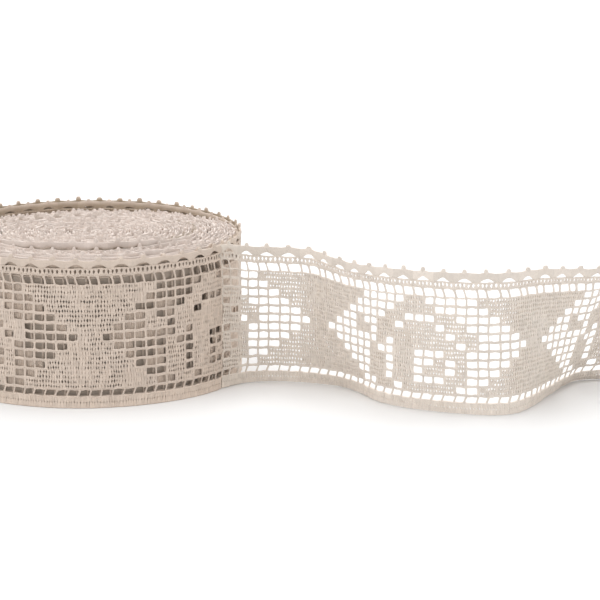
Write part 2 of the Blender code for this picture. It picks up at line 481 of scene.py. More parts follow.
@dataclass
class LaceMaker:
    """Lays the stitches of the lace on the flat tape.

    Attributes:
        pattern: Sizes and open meshes.
        stitches: The modelled stitches by kind.
        seed: Start of the random draws, so that each run gives the same lace.
        hem_painted_light: How much lighter the hem is painted than the rest, in steps of tone:
            painted light on the hem.
        posts_a_column: Number of posts across a column.
        slits_an_arch: Number of slits between the short posts under an arch.
    """

    pattern: FiletPattern
    stitches: dict[Stitch, StitchMesh]
    seed: int = 7
    hem_painted_light: float = 1.2
    posts_a_column: int = 4
    slits_an_arch: int = 5

    def lay(
        self,
        cloth: FlatCloth,
        kind: Stitch,
        spots: list[tuple[float, float]],
        scale: tuple[float, float, float] = (1.0, 1.0, 1.0),
        spread: float = 0.05,
        rise: float = 0.0,
        lighter: float = 0.0,
    ) -> None:
        """Copies one kind of stitch to its spots, each a little different.

        Args:
            cloth: The cloth that they are laid on.
            kind: Which stitch.
            spots: How far along and how high each copy's foot lies.
            scale: Scale of all the copies.
            spread: How much the copies differ in width and depth, as a share.
            rise: How much they differ in height, as a share.
            lighter: How much lighter than the rest they are painted, in steps of tone; painted
                light, used on the hem.
        """
        if not spots:
            return
        draw = np.random.default_rng(self.seed + 31 * len(cloth.points) + len(spots))
        count = len(spots)
        flat = np.array(spots)
        jitter = draw.uniform(-0.06, 0.06, (count, 2))
        places = np.column_stack([flat[:, 0], jitter[:, 1], flat[:, 1]])
        scales = np.array(scale) * (1.0 + spread * draw.uniform(-1.0, 1.0, (count, 3)))
        scales[:, 2] = scale[2] * (1.0 + rise * draw.uniform(-1.0, 1.0, count))
        if kind in (Stitch.CHAIN, Stitch.PLAIN_CHAIN, Stitch.ARCH, Stitch.PLAIN_ARCH, Stitch.WALL):
            scales[:, 0] = scale[0]
        else:
            places[:, 0] += jitter[:, 0]
        # Tones: random tone, plus painted light where lighter is given
        cloth.add(self.stitches[kind], places, scales, lighter + draw.uniform(-1.0, 1.0, count))

    def post_places(self, start: float) -> list[float]:
        """How far along the tape the posts of a column stand, by where the column starts."""
        post = self.pattern.column / self.posts_a_column
        return [start + post * (place + 0.5) for place in range(self.posts_a_column)]

    def fill_mesh(
        self,
        posts: dict[Stitch, list[tuple[float, float]]],
        row: int,
        start: float,
        openness: float,
        draw: np.random.Generator,
    ) -> None:
        """Adds the two tiers of posts of a solid mesh, some with slits beside them.

        Args:
            posts: The posts' spots by kind, which it adds to.
            row: The mesh's row.
            start: How far along the tape it starts.
            openness: How many of its posts stand apart, as a share of those on the roll.
            draw: The random draws.
        """
        for tier in range(2):
            wander = 0.22 * math.sin(1.7 * (2 * row + tier) + 0.06 * start)
            height = self.pattern.cord(row) + 0.5 * self.pattern.row * tier
            for place in self.post_places(start):
                along = place + wander
                airy = math.sin(0.21 * along + 1.3) + math.sin(0.17 * height + 0.07 * along)
                chance = draw.uniform() / openness
                if chance < 0.28 + 0.1 * airy:
                    kind = Stitch.OPEN_POST
                elif chance < 0.6 + 0.2 * airy:
                    kind = Stitch.LOOSE_POST
                else:
                    kind = Stitch.POST
                posts[kind].append((along, height))

    def ground(self, cloth: FlatCloth, columns: range, openness: float) -> None:
        """Lays the filet ground: posts in the solid meshes, bars beside the open ones.

        Args:
            cloth: The cloth that they are laid on.
            columns: Its columns.
            openness: How many of its posts stand apart, as a share of those on the roll.
        """
        pattern = self.pattern
        posts = {Stitch.POST: [], Stitch.LOOSE_POST: [], Stitch.OPEN_POST: []}
        bars, chains = [], []
        draw = np.random.default_rng(self.seed)
        for row in range(pattern.rows):
            bar_foot = pattern.foot(row) - pattern.tuck
            for column in columns:
                start = pattern.start(column)
                is_open = pattern.is_open(row, column)
                if is_open or row == pattern.rows - 1 or pattern.is_open(row + 1, column):
                    chains.append((start, pattern.cord(row)))
                if is_open or pattern.is_open(row, column - 1):
                    bars.append((start, bar_foot))
                if column == columns[-1]:
                    bars.append((start + pattern.column, bar_foot))
                if not is_open:
                    self.fill_mesh(posts, row, start, openness, draw)
        for kind, spots in posts.items():
            self.lay(cloth, kind, spots, spread=0.05 if kind is Stitch.POST else 0.09)
        self.lay(cloth, Stitch.BAR, bars, spread=0.12)
        self.lay(cloth, Stitch.CHAIN, chains, (1.0, 0.92, 1.32), spread=0.08)
        top = [(pattern.start(column), pattern.ground_cord) for column in columns]
        self.lay(cloth, Stitch.CHAIN, top, (1.0, 1.0, 0.86))

    def hem(self, cloth: FlatCloth, columns: range) -> None:
        """Lays the solid hem, with its line of stitch holes, and the bars of its eyelets.

        Args:
            cloth: The cloth that they are laid on.
            columns: Its columns.
        """
        pattern = self.pattern
        # The hem's posts and cords are painted lighter, standing for the light that falls on the
        # hem
        tone = self.hem_painted_light
        back = [pattern.start(column) - pattern.slant for column in columns]
        alongs = [along for start in back for along in self.post_places(start)]
        lower = [(along, pattern.hem_seam - pattern.hem_reach) for along in alongs]
        upper = [(along, pattern.hem_seam + pattern.hem_reach) for along in alongs]
        self.lay(cloth, Stitch.HEM_POST, lower, lighter=tone)
        self.lay(cloth, Stitch.HEM_POST, upper, (-1.0, 1.0, -1.0), lighter=tone)
        for cord in (pattern.hem_cord, pattern.hem_brim):
            self.lay(cloth, Stitch.CHAIN, [(b, cord) for b in back], (1.0, 1.1, 0.8), lighter=tone)
        ends = range(columns.start, columns.stop + 1)
        bars = [(pattern.start(end), pattern.hem_bars) for end in ends]
        self.lay(cloth, Stitch.HEM_BAR, bars, spread=0.1)

    def top_edge(self, cloth: FlatCloth, columns: range) -> None:
        """Lays the top eyelets, the short posts and the arches with their picots.

        Args:
            cloth: The cloth that they are laid on.
            columns: Its columns.
        """
        pattern = self.pattern
        back = [pattern.start(column) - pattern.slant for column in columns]
        sides = [pattern.uneven if column % 2 else -pattern.uneven for column in columns]
        bars = [(pattern.start(c) + side, pattern.top_bars) for c, side in zip(columns, sides)]
        bars.append((pattern.start(columns.stop), pattern.top_bars))
        self.lay(cloth, Stitch.EYELET_BAR, bars, spread=0.1)
        self.lay(cloth, Stitch.CHAIN, [(b, pattern.slit_cord) for b in back], (1.0, 1.0, 1.06))
        arches = [b for column, b in zip(columns, back) if column % 2]
        slit = 2.0 * pattern.column / self.slits_an_arch
        foot = pattern.slit_cord + pattern.tuck
        steps = [slit * place for place in range(self.slits_an_arch)]
        shorts = [(arch + step, foot) for arch in arches for step in steps]
        self.lay(cloth, Stitch.SLIT_POST, shorts, spread=0.12)
        self.lay(cloth, Stitch.CHAIN, [(b, pattern.arch_cord) for b in back], (1.0, 1.0, 0.85))
        self.lay(cloth, Stitch.ARCH, [(arch, 0.0) for arch in arches], spread=0.04)
        picots = [(arch + pattern.column, pattern.picot_foot) for arch in arches]
        self.lay(cloth, Stitch.PICOT, picots, spread=0.15, rise=0.2)

    def fine_lace(self, columns: range, openness: float = 1.0) -> FlatCloth:
        """Makes a stretch of lace in full detail.

        Args:
            columns: Its columns. The first has an odd number, where an arch starts.
            openness: How many of its posts stand apart, as a share of those on the roll.

        Returns:
            The flat lace.
        """
        cloth = FlatCloth()
        self.ground(cloth, columns, openness)
        self.hem(cloth, columns)
        self.top_edge(cloth, columns)
        return cloth

    def plain_lace(self, columns: range) -> FlatCloth:
        """Makes a stretch of lace in simpler stitches, to lie just below the outer turn.

        Args:
            columns: Its columns. The first has an odd number.

        Returns:
            The flat lace.
        """
        cloth = FlatCloth()
        pattern = self.pattern
        hem_foot = 1.0
        posts, bars, cords, shorts = [], [], [], []
        for column in columns:
            start = pattern.start(column)
            alongs = self.post_places(start)
            for row in range(pattern.rows):
                cord = pattern.cord(row)
                cords.append((start, cord))
                if pattern.is_open(row, column):
                    bars.append((start, cord))
                else:
                    posts += [(along, cord) for along in alongs]
            posts += [(along, hem_foot) for along in alongs]
            shorts += [(along, pattern.slit_cord) for along in alongs]
            bars += [(start, pattern.hem_brim), (start, pattern.top_bars)]
            heights = (pattern.hem_cord, pattern.hem_brim, pattern.top_bars, pattern.slit_cord)
            cords += [(start, height) for height in heights]
        self.lay(cloth, Stitch.PLAIN_POST, posts, spread=0.08)
        self.lay(cloth, Stitch.PLAIN_POST, bars, (0.6, 0.8, 1.0), spread=0.08)
        self.lay(cloth, Stitch.PLAIN_CHAIN, cords)
        self.lay(cloth, Stitch.PLAIN_POST, shorts, (0.9, 0.9, 0.75))
        self.mat_edge(cloth, columns)
        return cloth

    def mat_edge(self, cloth: FlatCloth, columns: range) -> None:
        """Lays the arches and picots of turns below the outer one.

        Args:
            cloth: The cloth that they are laid on.
            columns: Its columns.
        """
        pattern = self.pattern
        cords = [(pattern.start(column), pattern.arch_cord) for column in columns]
        arches = [pattern.start(column) for column in columns if column % 2]
        self.lay(cloth, Stitch.PLAIN_CHAIN, cords)
        self.lay(cloth, Stitch.PLAIN_ARCH, [(arch, 0.0) for arch in arches], spread=0.05)
        picots = [(arch + pattern.column, pattern.picot_foot) for arch in arches]
        self.lay(cloth, Stitch.PLAIN_PICOT, picots, (1.0, 1.0, 0.88), spread=0.2, rise=0.25)

    def deep_lace(self, columns: range) -> FlatCloth:
        """Makes a stretch of lace of which only the edges show.

        Args:
            columns: Its columns. The first has an odd number.

        Returns:
            The flat lace.
        """
        cloth = FlatCloth()
        walls = [(self.pattern.start(c), 0.0) for c in columns if c % 2]
        self.lay(cloth, Stitch.WALL, walls, spread=0.0)
        self.mat_edge(cloth, columns)
        return cloth


# The ways that the tape takes

Fold = namedtuple("Fold", "x y lean_x lean_y")


@dataclass(frozen=True)
class Bulge:
    """A smooth bulge.

    Attributes:
        size: How far it goes out at its middle.
        middle: Where its middle lies.
        width: How far from its middle it has fallen to about a third.
    """

    size: float
    middle: float
    width: float

    def at(self, places: np.ndarray) -> np.ndarray:
        """How far it goes out at each place."""
        return self.size * np.exp(-((places - self.middle) / self.width) ** 2)


@dataclass
class RollWay:
    """The tape's way back round the roll from where its loose end leaves.

    Attributes:
        radius: Radius of the outer turn's middle at the leaving place.
        pitch: Distance between turns.
        leaving: Angle at which the loose end leaves.
        full_radius: The roll's radius.
        swell: How far the mat of the inner turns bulges at the front.
        drop: How far the mat lies below the outer turn at its rim.
        rear_sink: How far more it sinks at the rear.
        rear_rise: How far the outer turn rises at the rear.
        curl: How far the edges of the turns within curl in and out.
        proud: The turn that stands proud of the mat at the front, counted from the outside.
        others: Turns that stand a little proud there, or low.
    """

    radius: float = 67.95
    pitch: float = 1.4
    leaving: float = math.radians(-29.0)
    full_radius: float = 68.5
    swell: float = 2.4
    drop: float = 1.0
    rear_sink: float = 4.0
    rear_rise: float = 1.5
    curl: float = 0.55
    proud: Bulge = Bulge(2.8, 14.17, 0.6)
    others: tuple[Bulge, ...] = (Bulge(0.9, 5.2, 0.7), Bulge(-1.6, 11.4, 1.5))

    def turned(self, along: np.ndarray) -> np.ndarray:
        """Works out how far round the roll a place on the tape is, back from the leaving place.

        Args:
            along: How far along the tape each place is.

        Returns:
            The angles, in radians.
        """
        back = -along
        inside = np.maximum(self.radius ** 2 - self.pitch * back / math.pi, 0.01)
        return (self.radius - np.sqrt(inside)) * 2.0 * math.pi / self.pitch

    def length_of(self, turns: float) -> float:
        """Length of tape in so many turns, counted from the outside."""
        angle = 2.0 * math.pi * turns
        return self.radius * angle - self.pitch * angle ** 2 / (4.0 * math.pi)

    def mat_height(self, radius: np.ndarray, angle: np.ndarray) -> np.ndarray:
        """Works out the height of the mat of the inner turns' edges, as the solid roll has it.

        Args:
            radius: How far from the roll's axis each place is.
            angle: Its angle about the axis.

        Returns:
            The heights.
        """
        share = np.clip(radius / self.full_radius, 0.0, 1.0)
        front = -np.sin(angle)
        swell = self.swell * np.sin(math.pi * share ** 1.4) * (0.45 + 0.55 * front)
        sink = self.rear_sink * np.maximum(0.0, np.sin(angle - 0.3)) * share ** 4
        return TAPE_HEIGHT - self.drop + swell - sink

    def unevenness(self, along: np.ndarray, turned: np.ndarray, angle: np.ndarray) -> np.ndarray:
        """Works out how far a turn stands above the mat: each was wound a little unevenly.

        Args:
            along: How far along the tape each place is.
            turned: How far round the roll it is.
            angle: Its angle about the axis.

        Returns:
            The differences in height.
        """
        uneven = 0.42 * np.sin(along / 31.0) + 0.34 * np.sin(along / 13.7 + 1.1)
        uneven += 0.20 * np.sin(along / 6.3 + 0.4)
        turn = turned / (2.0 * math.pi)
        front = np.clip(-np.sin(angle - 0.25), 0.0, 1.0)
        above = sum(bulge.at(turn) for bulge in (self.proud, *self.others))
        return uneven + above * front ** 0.6

    def bend(self, flat: np.ndarray) -> np.ndarray:
        """Winds flat cloth round the roll.

        Args:
            flat: Corners on the flat tape, in millimetres.

        Returns:
            The same corners in place, in metres.
        """
        along, out, height = flat.T
        turned = self.turned(along)
        angle = self.leaving - turned
        middle = self.radius - self.pitch * turned / (2.0 * math.pi)
        inside = np.clip((turned - 4.0 * math.pi + 0.3) / 0.8, 0.0, 1.0)
        top = self.mat_height(middle, angle) + self.unevenness(along, turned, angle)
        rim = TAPE_HEIGHT + self.rear_rise * np.clip(np.sin(angle - 0.2), 0.0, 1.0)
        rim -= (0.9 - 0.6 * np.sin(angle)) * np.clip(turned - 2.0 * math.pi, 0.0, 1.0)
        top = rim + inside * (top - rim)
        curl = self.curl * np.sin(along / 4.3 + np.sin(along / 17.0))
        radius = middle + out + inside * curl * np.clip((height - 60.0) / 5.0, 0.0, 1.0)
        radius += 0.22 * np.sin(3.0 * angle + 0.8) + 0.14 * np.sin(7.0 * angle)
        upright = height * top / TAPE_HEIGHT
        return MM * np.column_stack([radius * np.cos(angle), radius * np.sin(angle), upright])


@dataclass
class LooseWay:
    """The loose end's way out from the roll, on its hem.

    Attributes:
        roll: The way round the roll, which it continues.
        end_gap: How far along the way the loose end starts.
        clearance: Height of its hem above the surface.
        edge_rise: How much higher its scalloped edge stands than where it is wound.
        hem_back: How far its hem is drawn back near the roll, and forward in the middle.
        end_back: How far its hem is drawn back from there to its end.
        back_height: Height above the hem at which the cloth is back on its way.
        reach: How far ahead and behind the way's direction is taken.
        lead: Length of the way on the roll before it leaves.
        steps: Number of samples between two folds.
        folds: The hem's places, and how far the top edge leans over there, in millimetres.
    """

    roll: RollWay
    end_gap: float = 0.6
    clearance: float = 0.2
    edge_rise: float = 1.2
    hem_back: tuple[Bulge, ...] = (Bulge(4.5, 68.0, 18.0), Bulge(-4.5, 148.0, 20.0))
    end_back: Bulge = Bulge(4.0, 193.0, 7.0)
    back_height: float = 30.0
    reach: float = 0.6
    lead: float = 9.0
    steps: int = 24
    folds: tuple[Fold, ...] = (
        Fold(68.0, -24.4, 1.0, -10.5),
        Fold(75.5, -21.2, 0.5, -14.0),
        Fold(85.5, -20.8, 0.0, -15.0),
        Fold(97.9, -24.6, 0.0, -15.5),
        Fold(109.5, -32.4, -2.4, -19.0),
        Fold(118.2, -43.4, -2.0, -20.0),
        Fold(128.6, -59.5, 0.0, -17.0),
        Fold(144.8, -71.0, 0.0, -15.0),
        Fold(164.0, -76.5, -1.5, -14.5),
        Fold(181.0, -74.6, -1.8, -15.0),
        Fold(191.6, -63.4, 0.6, -17.0),
        Fold(199.8, -47.4, 7.0, -22.0),
        Fold(208.5, -32.0, 13.5, -25.0),
        Fold(218.5, -22.0, 13.0, -22.0),
        Fold(250.0, -18.5, 8.0, -17.0),
    )
    samples: np.ndarray = field(init=False)
    lengths: np.ndarray = field(init=False)

    def __post_init__(self) -> None:
        """Samples a smooth way through the folds."""
        first = [self.on_roll(self.roll.leaving - self.lead / self.roll.full_radius)]
        stations = np.array([*first, self.on_roll(self.roll.leaving), *self.folds])
        stations = np.vstack([stations, 2.0 * stations[-1] - stations[-2]])
        shares = np.arange(self.steps)[:, None] / self.steps
        spans = []
        for before, start, end, after in zip(stations, stations[1:], stations[2:], stations[3:]):
            spans.append(0.5 * (
                2.0 * start
                + (end - before) * shares
                + (2.0 * before - 5.0 * start + 4.0 * end - after) * shares ** 2
                + (3.0 * start - before - 3.0 * end + after) * shares ** 3
            ))
        self.samples = np.vstack(spans)
        strides = np.hypot(*np.diff(self.samples[:, :2], axis=0).T)
        self.lengths = np.concatenate([[0.0], np.cumsum(strides)])

    def on_roll(self, angle: float) -> Fold:
        """A fold's place where the outer turn still lies on the roll."""
        radius = self.roll.radius
        return Fold(radius * math.cos(angle), radius * math.sin(angle), 0.0, 0.0)

    def line(self, along: np.ndarray, share: np.ndarray) -> np.ndarray:
        """Finds places on the tape's middle, seen from above.

        Args:
            along: How far along the tape each place is.
            share: How high up it is, as a share of the tape's height.

        Returns:
            Their x and y.
        """
        x, y, lean_x, lean_y = (np.interp(along, self.lengths, column) for column in self.samples.T)
        return np.column_stack([x + lean_x * share, y + lean_y * share])

    def bend(self, flat: np.ndarray) -> np.ndarray:
        """Stands flat cloth on its hem along the way.

        Args:
            flat: Corners on the flat tape, in millimetres.

        Returns:
            The same corners in place, in metres.
        """
        along, out, height = flat.T
        along = along + self.end_gap
        edge = np.clip((height - 61.6) / 2.2, 0.0, 1.0) * np.clip(along / 20.0, 0.0, 1.0)
        height = height + self.edge_rise * edge
        share = height / TAPE_HEIGHT
        reach = self.reach
        inside = np.clip(along, reach, self.lengths[-1] - reach)
        middle = self.line(inside, share)
        ahead = self.line(inside + reach, share) - self.line(inside - reach, share)
        ahead /= np.hypot(*ahead.T)[:, None]
        middle += ahead * (along - inside)[:, None]
        side = np.column_stack([ahead[:, 1], -ahead[:, 0]])
        lean = np.hypot(*(self.line(inside, share + 1.0) - self.line(inside, share)).T)
        upright = np.sqrt(TAPE_HEIGHT ** 2 - lean ** 2)
        back = sum(bulge.at(along) for bulge in self.hem_back)
        end = self.end_back
        back += 0.5 * end.size * (1.0 + np.tanh((along - end.middle) / end.width))
        middle[:, 1] += back * np.clip(1.0 - height / self.back_height, 0.0, 1.0) ** 2
        place = middle + side * out[:, None]
        return MM * np.column_stack([place, self.clearance + upright * share])


# The cotton

Socket = bpy.types.NodeSocket


class NodeBench:
    """Adds nodes to a tree, one after the other, and links them."""

    def __init__(self, tree: bpy.types.NodeTree) -> None:
        """Starts with the tree's own nodes cleared away."""
        self.tree = tree
        tree.nodes.clear()

    def add(
        self,
        kind: str,
        inputs: dict[str | int, object] | None = None,
        **settings: object,
    ) -> bpy.types.Node:
        """Adds a node.

        Args:
            kind: The node's type.
            inputs: What each input gets: a value, or the socket that feeds it.
            settings: The node's properties by name.

        Returns:
            The node.
        """
        node = self.tree.nodes.new(kind)
        node.location = (200.0 * (len(self.tree.nodes) - 1), 0.0)
        for name, value in settings.items():
            setattr(node, name, value)
        for name, value in (inputs or {}).items():
            if isinstance(value, Socket):
                self.tree.links.new(value, node.inputs[name])
            else:
                node.inputs[name].default_value = value
        return node

    def declare(self, direction: str, kind: str, *names: str) -> None:
        """Gives a group's tree its inputs or outputs of one kind.

        Args:
            direction: INPUT or OUTPUT.
            kind: The sockets' type.
            names: Their names.
        """
        for name in names:
            self.tree.interface.new_socket(name, in_out=direction, socket_type=kind)

    def math(self, operation: str, *values: float | Socket) -> Socket:
        """Adds a Math node, and returns its output."""
        return self.add("ShaderNodeMath", dict(enumerate(values)), operation=operation).outputs[0]

    def scaled(self, vector: Socket, scale: float | Socket) -> Socket:
        """Adds a node that scales a vector or a colour, and returns its output."""
        inputs = {0: vector, "Scale": scale}
        return self.add("ShaderNodeVectorMath", inputs, operation="SCALE").outputs["Vector"]

    def noise(self, place: Socket, scale: float, detail: float, roughness: float = 0.5) -> Socket:
        """Adds a Noise Texture node that reads a place, and returns its output."""
        inputs = {"Vector": place, "Scale": scale, "Detail": detail, "Roughness": roughness}
        return self.add("ShaderNodeTexNoise", inputs, noise_dimensions="3D").outputs["Fac"]

    def mix(self, share: Socket, first: Socket, second: Socket) -> Socket:
        """Adds a Mix node for two colours, and returns its output."""
        inputs = {"Factor": share, "A": first, "B": second}
        return self.add("ShaderNodeMix", inputs, data_type="RGBA").outputs["Result"]


def yarn_relief_group() -> bpy.types.NodeTree:
    """Builds the group that gives the height of twisted yarn and its loose fibres.

    Returns:
        The group. Its pattern lies on the flat tape, in millimetres.
    """
    tree = bpy.data.node_groups.new("yarn relief", "ShaderNodeTree")
    bench = NodeBench(tree)
    bench.declare("INPUT", "NodeSocketVector", "Flat")
    bench.declare("INPUT", "NodeSocketFloat", "Twist", "Fibre")
    bench.declare("OUTPUT", "NodeSocketFloat", "Height")
    given = bench.add("NodeGroupInput").outputs
    strands = {
        "Vector": given["Flat"],
        "Scale": 0.56,
        "Distortion": 2.2,
        "Detail": 2.0,
        "Detail Scale": 1.4,
    }
    twist = bench.add("ShaderNodeTexWave", strands, wave_type="BANDS", bands_direction="DIAGONAL")
    fibre = bench.noise(given["Flat"], 3.4, 5.0, 0.62)
    yarn = bench.math("MULTIPLY", twist.outputs["Fac"], given["Twist"])
    whole = bench.math("MULTIPLY_ADD", fibre, given["Fibre"], yarn)
    bench.add("NodeGroupOutput", {"Height": whole})
    return tree


def cotton_tint_group() -> bpy.types.NodeTree:
    """Builds the group that gives the colour of unbleached cotton.

    Returns:
        The group. It mixes the clean colour with the colour of painted shade, and varies them from
        yarn to yarn.
    """
    tree = bpy.data.node_groups.new("cotton tint", "ShaderNodeTree")
    bench = NodeBench(tree)
    bench.declare("INPUT", "NodeSocketVector", "Flat")
    bench.declare("INPUT", "NodeSocketColor", "Clean", "Warm", "Shaded", "Fleck")
    bench.declare("INPUT", "NodeSocketFloat", "Tone", "Shade", "Spread")
    bench.declare("OUTPUT", "NodeSocketColor", "Color")
    bench.declare("OUTPUT", "NodeSocketFloat", "Roughness")
    given = bench.add("NodeGroupInput").outputs

    # Warm clouds, then the tone of each stitch and of the slubs in its yarn
    clouds = bench.noise(given["Flat"], 0.07, 3.0)
    warm = bench.mix(clouds, given["Clean"], given["Warm"])
    slub = bench.noise(given["Flat"], 1.1, 4.0)
    varied = bench.math("MULTIPLY_ADD", slub, 1.2, -0.6)
    varied = bench.math("MULTIPLY_ADD", given["Tone"], 0.5, varied)
    varied = bench.math("MULTIPLY_ADD", varied, given["Spread"], 1.0)
    toned = bench.scaled(warm, varied)

    # Sparse flecks, then the painted shade between the turns
    specks = bench.noise(given["Flat"], 2.3, 1.0)
    limits = {"Value": specks, "From Min": 0.66, "From Max": 0.76, "To Max": 0.45}
    sparse = bench.add("ShaderNodeMapRange", limits, interpolation_type="SMOOTHSTEP")
    flecked = bench.mix(sparse.outputs["Result"], toned, given["Fleck"])
    shaded = bench.mix(given["Shade"], flecked, given["Shaded"])
    rough = bench.math("MULTIPLY_ADD", slub, 0.16, 0.78)
    bench.add("NodeGroupOutput", {"Color": shaded, "Roughness": rough})
    return tree


@dataclass(frozen=True)
class UnbleachedCotton:
    """The finish of the lace: matt unbleached cotton yarn, built in copies with more or less
    painted light.

    Attributes:
        name: Name of the material.
        clean: Colour of the yarn.
        warm: Colour where it is a little warmer.
        shaded: Colour of the painted shade deep between the turns.
        fleck: Colour of the flecks of husk in the yarn.
        spread: How much the tone changes from stitch to stitch.
        twist: Height of the yarn's twist.
        fibre: Height of its loose fibres.
        relief: Depth of the relief in metres.
        sheen: Weight of the soft sheen of its fibres.
    """

    name: str = "unbleached cotton, wound"
    clean: tuple[float, float, float, float] = (0.650, 0.552, 0.475, 1.0)
    warm: tuple[float, float, float, float] = (0.635, 0.522, 0.434, 1.0)
    # Colour of painted shade, mixed in where the shade attribute says
    shaded: tuple[float, float, float, float] = (0.300, 0.225, 0.135, 1.0)
    fleck: tuple[float, float, float, float] = (0.330, 0.245, 0.165, 1.0)
    spread: float = 0.17
    twist: float = 0.6
    fibre: float = 0.5
    relief: float = 0.00014
    sheen: float = 0.22

    def build(self, groups: dict[str, bpy.types.NodeTree]) -> bpy.types.Material:
        """Builds the material, which follows the flat tape's own map.

        Args:
            groups: The groups for its tint and its relief.

        Returns:
            The material.
        """
        material = bpy.data.materials.new(self.name)
        material.use_nodes = True
        bench = NodeBench(material.node_tree)
        tape = bench.add("ShaderNodeUVMap", uv_map="Tape").outputs["UV"]
        flat = bench.scaled(tape, 1000.0)
        tints = {"Flat": flat}
        for name in ("clean", "warm", "shaded", "fleck", "spread"):
            tints[name.capitalize()] = getattr(self, name)
        # shade carries painted shade between the turns; tone carries random tone and the hem's
        # painted light
        for name in ("tone", "shade"):
            mark = bench.add("ShaderNodeAttribute", attribute_name=name)
            tints[name.capitalize()] = mark.outputs["Fac"]
        tint = bench.add("ShaderNodeGroup", tints, node_tree=groups["tint"])

        strands = {"Flat": flat, "Twist": self.twist, "Fibre": self.fibre}
        relief = bench.add("ShaderNodeGroup", strands, node_tree=groups["relief"])
        bump = bench.add("ShaderNodeBump", {
            "Strength": 0.7,
            "Distance": self.relief,
            "Height": relief.outputs["Height"],
        })
        cotton = bench.add("ShaderNodeBsdfPrincipled", {
            "Base Color": tint.outputs["Color"],
            "Roughness": tint.outputs["Roughness"],
            "Normal": bump.outputs["Normal"],
            "Specular IOR Level": 0.25,
            "Sheen Weight": self.sheen,
            "Sheen Roughness": 0.6,
            "Sheen Tint": (0.95, 0.90, 0.84, 1.0),
        })
        bench.add("ShaderNodeOutputMaterial", {"Surface": cotton.outputs["BSDF"]})
        return material


# The pieces

@dataclass
class ClothPiece:
    """A bent stretch of the lace, made into an object.

    Attributes:
        name: Name of the piece.
        node: The solid that it stands for.
        length: Length of the tape in it, in millimetres.
        cotton: Its material.
        sharp: Angle in degrees past which an edge between two faces stays sharp.
    """

    name: str
    node: str
    length: float
    cotton: bpy.types.Material
    sharp: float = 62.0

    def handwork(self, flat: np.ndarray) -> np.ndarray:
        """Pulls the flat cloth about a little, as lace never lies quite square.

        Args:
            flat: Corners on the flat tape, in millimetres.

        Returns:
            The same corners, moved.
        """
        along, out, height = flat.T
        pull = 0.17 * np.sin(0.71 * along + 0.9 * np.sin(0.33 * height))
        pull += 0.12 * np.sin(0.43 * height + 0.19 * along)
        rise = 0.14 * np.sin(0.83 * along + 0.37 * height)
        rise += 0.10 * np.sin(1.9 * along - 0.6 * height)
        rise *= np.clip(np.minimum(height, TAPE_HEIGHT - height) / 6.0, 0.0, 1.0)
        pucker = 0.10 * np.sin(0.92 * along + 0.55 * height)
        pucker += 0.08 * np.sin(0.37 * along - 0.71 * height + 1.0)
        return np.column_stack([along + pull, out + pucker, height + rise])

    def make(
        self, cloth: FlatCloth, way: RollWay | LooseWay, shade: np.ndarray
    ) -> bpy.types.Object:
        """Bends the flat cloth and makes the piece from it.

        Args:
            cloth: The flat cloth.
            way: The way that it takes.
            shade: How much painted shade each corner gets, from 0 to 1, where it lies deep in the
                roll.

        Returns:
            The piece, which rides on its body and replaces its solid.
        """
        flat = cloth.flat_points()
        places = way.bend(self.handwork(flat))
        loops = np.concatenate(cloth.loops)
        sizes = np.concatenate(cloth.sizes)
        mesh = bpy.data.meshes.new(self.name)
        mesh.vertices.add(len(places))
        mesh.vertices.foreach_set("co", places.astype(np.float32).ravel())
        mesh.loops.add(len(loops))
        mesh.loops.foreach_set("vertex_index", loops.astype(np.int32))
        mesh.polygons.add(len(sizes))
        starts = np.concatenate([[0], np.cumsum(sizes)[:-1]])
        mesh.polygons.foreach_set("loop_start", starts.astype(np.int32))
        mesh.update(calc_edges=True)
        tape = mesh.uv_layers.new(name="Tape")
        tape.data.foreach_set("uv", (MM * flat[loops][:, [0, 2]]).astype(np.float32).ravel())
        # tone holds random tone plus the hem's painted light; shade holds painted shade
        for name, values in (("tone", np.concatenate(cloth.tones)), ("shade", shade)):
            layer = mesh.attributes.new(name, "FLOAT", "POINT")
            layer.data.foreach_set("value", values.astype(np.float32))
        mesh.validate()
        piece = bpy.data.objects.new(self.name, mesh)
        bpy.context.scene.collection.objects.link(piece)
        mesh.materials.append(self.cotton)
        bpy.ops.object.select_all(action="DESELECT")
        piece.select_set(True)
        bpy.context.view_layer.objects.active = piece
        bpy.ops.object.shade_smooth_by_angle(angle=math.radians(self.sharp))
        piece.select_set(False)
        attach(piece, BODY)
        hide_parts(self.node)
        triangles = int(np.sum(sizes - 2))
        log.info("%s: %d triangles, %.0f mm of tape", self.name, triangles, self.length)
        return piece


@dataclass
class LooseEnd:
    """The free end of the tape, which stands on its hem in an S.

    Attributes:
        maker: Lays the stitches.
        way: The way that it takes.
        cotton: Its material, a copy painted lighter for the light through and around its single
            layer.
        openness: How many of its posts stand apart, as a share of those on the roll.
        roll_shade: How much painted shade it gets where it leaves the roll.
        shade_length: How far along it that painted shade ends.
    """

    maker: LaceMaker
    way: LooseWay
    cotton: bpy.types.Material
    openness: float = 1.9
    roll_shade: float = 0.14
    shade_length: float = 30.0

    def build(self) -> None:
        """Builds the loose end in full detail."""
        pattern = self.maker.pattern
        columns = range(pattern.first_loose, pattern.last_loose + 1)
        cloth = self.maker.fine_lace(columns, self.openness)
        length = len(columns) * pattern.column
        along = cloth.flat_points()[:, 0]
        # Painted shade near the roll, fading out along the loose end
        near_roll = self.roll_shade * np.clip(1.0 - along / self.shade_length, 0.0, 1.0)
        made = ClothPiece("loose_end_lace", "loose_end", length, self.cotton)
        piece = made.make(cloth, self.way, near_roll)


